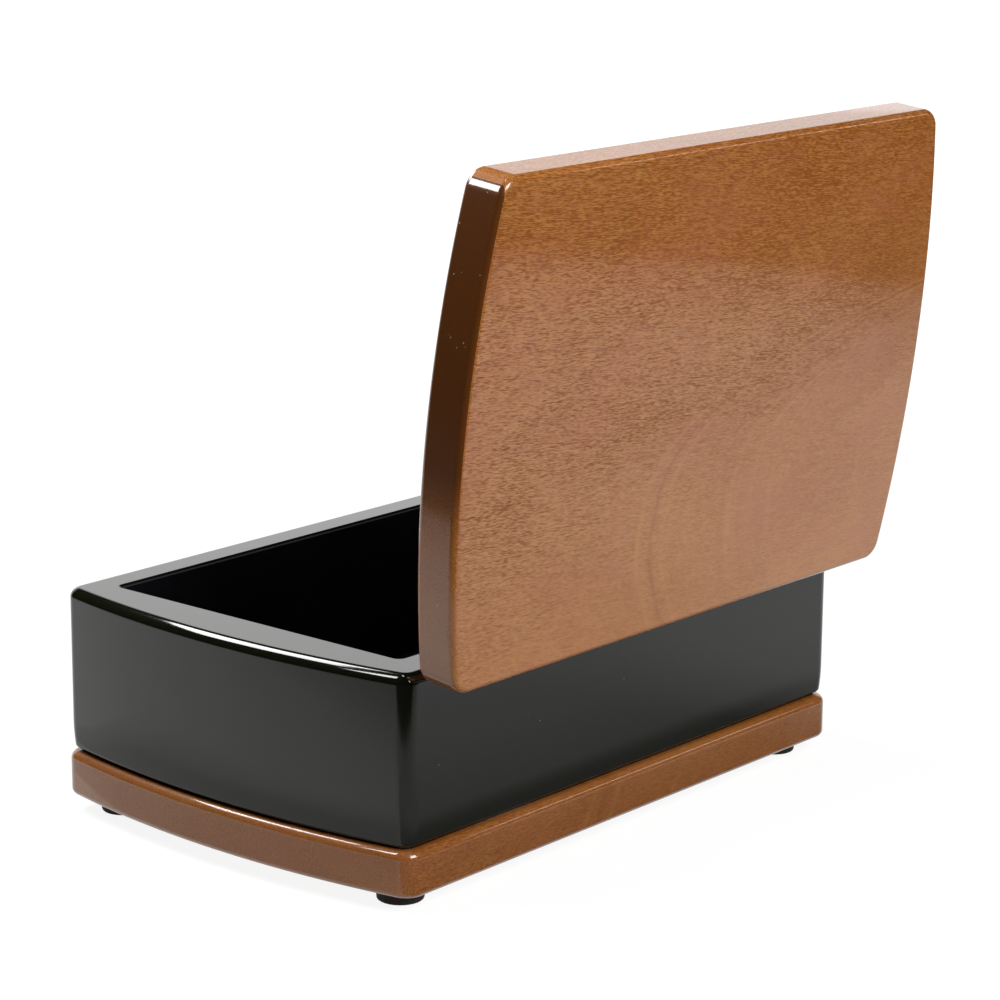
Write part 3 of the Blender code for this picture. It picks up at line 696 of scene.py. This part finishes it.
def makeMetal(name, look, finish):
    material, tree, shader = newMaterial(name)
    place = objectPlace(tree)
    brushed = stretchedNoise(tree, place, *finish["brushNoise"])
    tarnish = noiseNode(tree, place, *finish["tarnishNoise"])
    tone = mathNode(tree, "ADD", mathNode(tree, "MULTIPLY", brushed, finish["brushShare"]),
                    mathNode(tree, "MULTIPLY", tarnish, finish["tarnishShare"]))
    color = rampNode(tree, tone, zip(finish["colorStops"], (look["dark"], look["color"])))
    tree.links.new(color, shader.inputs["Base Color"])
    swing = finish["roughnessSwing"]
    tree.links.new(mathNode(tree, "MULTIPLY_ADD", brushed, swing, look["roughness"] - swing / 2),
                   shader.inputs["Roughness"])
    setInputs(shader, {"Metallic": 1.0})
    tree.links.new(bumpFrom(tree, brushed, *finish["bump"]), shader.inputs["Normal"])
    return material


# Rubber feet
footLook = {
    "color": (0.012, 0.007, 0.005),
    "lift": (0.028, 0.017, 0.011),
    "colorStops": (0.35, 0.70),
    "mottleNoise": (260.0, 4.0, 0.6),
    "roughnessLevel": (0.25, 0.50),
    "specular": 0.25,
    "gritNoise": (1500.0, 2.0, 0.6),
    "bump": (0.3, 0.0001),
}


def makeRubber(look):
    material, tree, shader = newMaterial("footRubber")
    place = objectPlace(tree)
    mottle = noiseNode(tree, place, *look["mottleNoise"])
    color = rampNode(tree, mottle, zip(look["colorStops"], (look["color"], look["lift"])))
    tree.links.new(color, shader.inputs["Base Color"])
    tree.links.new(mathNode(tree, "MULTIPLY_ADD", mottle, *look["roughnessLevel"]),
                   shader.inputs["Roughness"])
    setInputs(shader, {"Specular IOR Level": look["specular"]})
    grit = noiseNode(tree, place, *look["gritNoise"])
    tree.links.new(bumpFrom(tree, grit, *look["bump"]), shader.inputs["Normal"])
    return material


lidWood = makeWood("brownLidWood", woodLook, lidBoardLook)
baseWood = makeWood("brownBaseWood", woodLook, baseBoardLook)
lacquer = makeLacquer(lacquerLook)
felt = makeFelt(feltLook)
brass = makeMetal("agedBrass", brassLook, metalFinish)
steel = makeMetal("zincSteel", steelLook, metalFinish)
rubber = makeRubber(footLook)
print("materials made")


# Where the closed lid's pieces would lie, read from the open ones
def closedBox(name):
    closing = openLid.inverted()
    corners = [closing @ point.co for point in nodes[name].data.vertices]
    low = Vector([min(c[axis] for c in corners) for axis in range(3)])
    high = Vector([max(c[axis] for c in corners) for axis in range(3)])
    return low, high


# Body shell
def bodySections(footSteps=6, tuckSteps=10, roundSteps=12):
    tuck = chestShape["bodyTuck"]
    foot = chestShape["bodyFootRound"]
    topRound = chestShape["bodyTopRound"]
    # A small step keeps the shell's edge clear of the base board
    stepIn, stepUp = chestShape["bodyFootStep"]
    sections = [(tuck + foot + stepIn, baseTop), (tuck + foot + stepIn, baseTop + stepUp)]
    for i in range(footSteps):
        turn = pi / 2 * i / footSteps
        sections.append((tuck + foot * (1 - sin(turn)),
                         baseTop + stepUp + foot * (1 - cos(turn))))
    # The walls curve out to their full width above it
    start = foot + stepUp
    for i in range(tuckSteps + 1):
        rise = i / tuckSteps
        height = start + (chestShape["bodyTuckHeight"] - start) * rise
        sections.append((tuck * (1 - rise) ** 2, baseTop + height))
    for i in range(roundSteps + 1):
        turn = pi / 2 * i / roundSteps
        sections.append((topRound * (1 - cos(turn)), rim - topRound * (1 - sin(turn))))
    return sections


def leafSeats():
    # The mortises under and behind the two body leaves
    gap = chestShape["fitGap"]
    thick = chestShape["leafThickness"]
    back = middleY + halfDepth
    seats = []
    for side in ("left", "right"):
        low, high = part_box(side + "_hinge_body_leaf")
        seats.append(blockMesh((low[0] - gap, low[1] - gap, rim - thick),
                               (high[0] + gap, back + overrun, rim + overrun)))
        seats.append(blockMesh((low[0] - gap, back - thick, low[2] - gap),
                               (high[0] + gap, back + overrun, rim + overrun)))
    return seats


def makeBodyShell():
    mesh = loftPlan(bodySections(), halfDepth, endRadius, chestShape["bodyCorner"], "body_shell")
    shell = link(bpy.data.objects.new("body_shell", mesh))
    bevel = chestShape["rimBevel"]
    carve(shell, [openingBlock(rim - bevel, bevel)] + leafSeats())
    dress(shell, lacquer)
    softShade(shell)
    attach(shell, "chest")
    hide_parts("front_wall", "back_wall", "left_end", "right_end")


makeBodyShell()
print("body shell made")


# Boards
def screwSink(name, steps=40):
    # The countersunk hole round one base screw, open to the underside
    low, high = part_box(name)
    radius = (high[0] - low[0]) / 2 + chestShape["sinkGap"]
    depth = overrun + radius / 2
    centre = ((low[0] + high[0]) / 2, (low[1] + high[1]) / 2, baseBottom - overrun + depth / 2)
    shape = bmesh.new()
    bmesh.ops.create_cone(shape, cap_ends=True, segments=steps, radius1=radius + overrun,
                          radius2=radius / 2, depth=depth)
    bmesh.ops.translate(shape, verts=shape.verts, vec=centre)
    return meshFrom(shape, "sink")


def makeBaseBoard():
    sections = roundedSections(baseBottom, baseTop, chestShape["boardRound"],
                               chestShape["baseTopRound"])
    mesh = loftPlan(sections, baseHalfDepth, boardRadius, chestShape["boardCorner"], "base_panel")
    board = link(bpy.data.objects.new("base_panel", mesh))
    carve(board, [screwSink("base_screw_%d" % number) for number in range(1, 9)])
    dress(board, baseWood)
    softShade(board)
    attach(board, "chest")
    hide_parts("base_board")


def makeLidBoard():
    # Drawn closed, then swung open about the hinge pins
    boardLow, boardHigh = closedBox("lid_board")
    lidUnder = boardLow.z
    halfAcross = (boardHigh.y - boardLow.y) / 2
    sections = roundedSections(lidUnder, boardHigh.z, chestShape["boardRound"],
                               chestShape["boardRound"])
    mesh = loftPlan(sections, halfAcross, boardRadius, chestShape["boardCorner"], "lid_panel")
    board = link(bpy.data.objects.new("lid_panel", mesh))
    gap = chestShape["fitGap"]
    seats = []
    for side in ("left", "right"):
        low, high = closedBox(side + "_hinge_lid_leaf")
        seats.append(blockMesh((low[0] - gap, low[1] - gap, lidUnder - overrun),
                               (high[0] + gap, boardHigh.y + overrun,
                                lidUnder + chestShape["leafThickness"] + gap)))
    carve(board, seats)
    centre = (boardLow + boardHigh) / 2
    board.data.transform(Matrix.Translation(-centre))
    board.matrix_world = openLid @ Matrix.Translation(centre)
    dress(board, lidWood)
    softShade(board)
    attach(board, "lid")
    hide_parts("lid_board")


makeBaseBoard()
makeLidBoard()
print("boards made")


# Felt lining: thin soft pads with rolled edges that follow the rounded corners
liningLook = {"roll": 0.0006, "rollSteps": 4, "rollAngle": 50, "shadeAngle": 60}


def makePad(name, node):
    low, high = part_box(node)
    pad = link(bpy.data.objects.new(name, blockMesh(low, high)))
    carve(pad, [openingBlock(rim)], "INTERSECT")
    roll = pad.modifiers.new("roll", "BEVEL")
    roll.width = liningLook["roll"]
    roll.segments = liningLook["rollSteps"]
    roll.limit_method = "ANGLE"
    roll.angle_limit = radians(liningLook["rollAngle"])
    dress(pad, felt)
    softShade(pad, liningLook["shadeAngle"])
    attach(pad, "chest")
    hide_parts(node)


for padName in ("front_lining", "back_lining", "left_lining", "right_lining", "floor_pad"):
    makePad(padName + "_felt", padName)
print("lining made")


# Hardware keeps its shape from the frame and gets its finish and soft edges here
edgeLook = {"width": 0.00012, "steps": 2, "angle": 40}


def finishHardware(look):
    for name, node in nodes.items():
        if node.hide_render:
            continue
        if "hinge" in name:
            dress(node, brass)
        elif name.endswith("_foot"):
            dress(node, rubber)
        else:
            dress(node, steel)
        edge = node.modifiers.new("softEdge", "BEVEL")
        edge.width = look["width"]
        edge.segments = look["steps"]
        edge.limit_method = "ANGLE"
        edge.angle_limit = radians(look["angle"])


finishHardware(edgeLook)
print("hardware finished")


# Stage: a pale floor under a white background, a black hood open behind the chest, the lamps
stageLook = {
    "floorHalf": 6,
    "floorDepth": 0.02,
    "floorColor": 0.62,
    "floorLevel": 1.18,
    "floorLevelMirrored": 1.0,
    "floorKeep": 0.24,
    "floorKeepMirrored": 0.40,
    "floorReach": (0.25, 1.10),
    "cardColor": 0.02,
    "cardRadius": 2.2,
    "cardHeight": 3.2,
    "cardOpenDeg": (182, 274),
    "cardOpenHeight": 1.2,
    "cardSteps": 72,
    "cardLift": 0.001,
    "cardEdge": ((-2.4, -0.90), (-0.85, 0.32), (-0.678, 0.462), (-0.657, 0.490), (-0.608, 0.520),
                 (-0.566, 0.546), (-0.510, 0.570), (-0.476, 0.587), (-0.33, 0.60), (-0.15, 0.55),
                 (-0.03, 0.46), (0.04, 0.41), (0.15, 0.35), (0.20, 0.295), (0.26, 0.245),
                 (0.31, 0.18), (0.355, 0.11), (0.385, 0.05), (0.42, -0.015), (0.46, -0.11),
                 (0.48, -0.245), (0.52, -0.40), (0.60, -2.2)),
    "cardFade": ((-0.20, 0.0), (-0.13, 0.08), (-0.08, 0.30), (-0.035, 0.46), (0.0, 1.0),
                 (2.5, 1.0)),
    # Painted shadow: covers of dark cards beside the chest and beside the base's +X end, seen
    # only in reflections
    "paintedShadows": (
        (((-0.34, 0.0), (-0.22, 0.30), (-0.17, 0.65), (-0.12, 1.0), (0.13, 1.0), (0.22, 0.6),
          (0.30, 0.0)),
         ((0.0745, 0.90), (0.11, 0.80), (0.135, 0.52), (0.20, 0.32), (0.25, 0.12), (0.30, 0.0))),
        (((0.148, 0.40), (0.19, 0.34), (0.24, 0.0)),
         ((-0.20, 0.3), (-0.15, 0.9), (-0.08, 1.0), (0.05, 1.0), (0.09, 0.2)))),
    "paintedShadowLift": 0.0005,
    "worldLevel": 0.25,
}

# Soft lamps; each is where it stands, where it points, its size, its turn and its power
lampLook = {
    "key": {"place": (0.28, 1.40, 1.07), "aim": (0, 0, 0.15), "size": (0.80, 0.80),
            "rollDeg": 0, "power": 31.0},
    "softbox": {"place": (0.158, -0.514, 0.703), "aim": (0.14, 0, 0.09), "size": (0.45, 0.26),
                "rollDeg": 0, "power": 6.6},
    "strip": {"place": (0.414, -0.199, 0.567), "aim": (0.135, 0.09, 0.27), "size": (0.07, 0.20),
              "rollDeg": 23, "power": 0.88},
    "overhead": {"place": (0.1385, -0.043, 0.752), "aim": (0.135, 0.09, 0.27),
                 "size": (0.04, 0.20), "rollDeg": -40, "power": 0.45},
    "backdrop": {"place": (-1.25, -1.0, 0.42), "aim": (0, 0, 0.15), "size": (2.2, 0.5),
                 "rollDeg": 0, "power": 1.38},
    "kicker": {"place": (-0.961, 0.763, 0.52), "aim": (0, 0.09, 0.27), "size": (0.30, 0.10),
               "rollDeg": 0, "power": 0.38},
}


def seesBackground(tree):
    # Rays that show the background: the camera's, and those mirrored or seen through glass
    path = addNode(tree, "ShaderNodeLightPath")
    mirrored = mathNode(tree, "MAXIMUM", path.outputs["Is Glossy Ray"],
                        path.outputs["Is Transmission Ray"])
    return path.outputs["Is Camera Ray"], mirrored


def makeFloor(look):
    # The diffuse share keeps the shadow near the chest; farther out the floor is plain white
    half = look["floorHalf"]
    floor = link(bpy.data.objects.new("floor", blockMesh((-half, -half, -look["floorDepth"]),
                                                         (half, half, 0))))
    material, tree, shader = newMatte("floorPaper", look["floorColor"])
    white = addNode(tree, "ShaderNodeEmission")
    seenNow, mirroredNow = seesBackground(tree)
    level = mathNode(tree, "MULTIPLY_ADD", seenNow,
                     look["floorLevel"] - look["floorLevelMirrored"], look["floorLevelMirrored"])
    tree.links.new(level, white.inputs["Strength"])
    distance = addNode(tree, "ShaderNodeVectorMath", operation="LENGTH")
    tree.links.new(objectPlace(tree), distance.inputs[0])
    near = fadeNode(tree, distance.outputs["Value"], (*look["floorReach"], 1.0, 0.0))
    shares = []
    for seen, keep in ((seenNow, look["floorKeep"]), (mirroredNow, look["floorKeepMirrored"])):
        plain = mathNode(tree, "MULTIPLY_ADD", near, -keep, 1.0)
        shares.append(mathNode(tree, "MULTIPLY", seen, plain))
    mixShaders(tree, mathNode(tree, "MAXIMUM", *shares), shader, white)
    dress(floor, material)


def makeCardMaterial(look):
    # Black card that fades in over its feathered edge
    material, tree, shader = newMatte("blackCard", look["cardColor"])
    clear = addNode(tree, "ShaderNodeBsdfTransparent")
    cover = addNode(tree, "ShaderNodeAttribute", attribute_name="cover")
    mixShaders(tree, cover.outputs["Fac"], clear, shader)
    return material


def makeCard(name, rows, covers, material):
    # A card between rows of points, unseen by the camera and casting no shadow
    points = [point for row in rows for point in row]
    width = len(rows[0])
    faces = [(r * width + i, r * width + i + 1, (r + 1) * width + i + 1, (r + 1) * width + i)
             for r in range(len(rows) - 1) for i in range(width - 1)]
    mesh = bpy.data.meshes.new(name)
    mesh.from_pydata(points, [], faces)
    cover = mesh.attributes.new("cover", "FLOAT", "POINT")
    for number, value in enumerate(value for row in covers for value in row):
        cover.data[number].value = value
    card = link(bpy.data.objects.new(name, mesh))
    card.visible_camera = False
    card.visible_shadow = False
    dress(card, material)


def makeCards(look):
    # A hood open towards the backdrop, a card round the white paper, and dark cards beside the
    # chest: painted shadow of the chest on the floor, seen only in reflections
    material = makeCardMaterial(look)
    openFrom, openTo = look["cardOpenDeg"]
    foot = []
    for i in range(look["cardSteps"] + 1):
        turn = 360 * i / look["cardSteps"]
        height = look["cardOpenHeight"] if openFrom < turn < openTo else look["cardLift"]
        foot.append((look["cardRadius"] * cos(radians(turn)),
                     look["cardRadius"] * sin(radians(turn)), height))
    head = [(x, y, look["cardHeight"]) for x, y, z in foot]
    crown = [(0, 0, look["cardHeight"])] * len(foot)
    makeCard("hood", [foot, head, crown], [[1.0] * len(foot)] * 3, material)
    edge = [Vector((*place, look["cardLift"])) for place in look["cardEdge"]]
    outward = [Vector((place.x, place.y, 0)).normalized() for place in edge]
    rows = [[place + way * offset for place, way in zip(edge, outward)]
            for offset, cover in look["cardFade"]]
    covers = [[cover] * len(edge) for offset, cover in look["cardFade"]]
    makeCard("lyingCard", rows, covers, material)
    # Painted shadow cards on the floor beside the chest
    for number, (columns, lines) in enumerate(look["paintedShadows"]):
        rows = [[(x, y, look["paintedShadowLift"]) for x, share in columns] for y, cover in lines]
        covers = [[share * cover for x, share in columns] for y, cover in lines]
        makeCard("paintedShadowCard%d" % (number + 1), rows, covers, material)


def makeLamp(name, look):
    data = bpy.data.lights.new(name, "AREA")
    data.shape = "RECTANGLE"
    data.size, data.size_y = look["size"]
    data.energy = look["power"]
    lamp = link(bpy.data.objects.new(name, data))
    turn = (Vector(look["aim"]) - Vector(look["place"])).to_track_quat("-Z", "Y").to_matrix()
    roll = Matrix.Rotation(radians(look["rollDeg"]), 4, "Z")
    lamp.matrix_world = Matrix.Translation(look["place"]) @ turn.to_4x4() @ roll
    lamp.visible_camera = False


def makeWorld(look):
    world = bpy.data.worlds.new("studio")
    world.use_nodes = True
    tree = world.node_tree
    background = tree.nodes["Background"]
    background.inputs["Color"].default_value = (1, 1, 1, 1)
    seen = mathNode(tree, "MAXIMUM", *seesBackground(tree))
    level = mathNode(tree, "MAXIMUM", seen, look["worldLevel"])
    tree.links.new(level, background.inputs["Strength"])
    bpy.context.scene.world = world


makeFloor(stageLook)
makeCards(stageLook)
for lampName, look in lampLook.items():
    makeLamp(lampName + "Lamp", look)
makeWorld(stageLook)
bpy.context.scene.view_settings.view_transform = "Standard"
print("stage made")
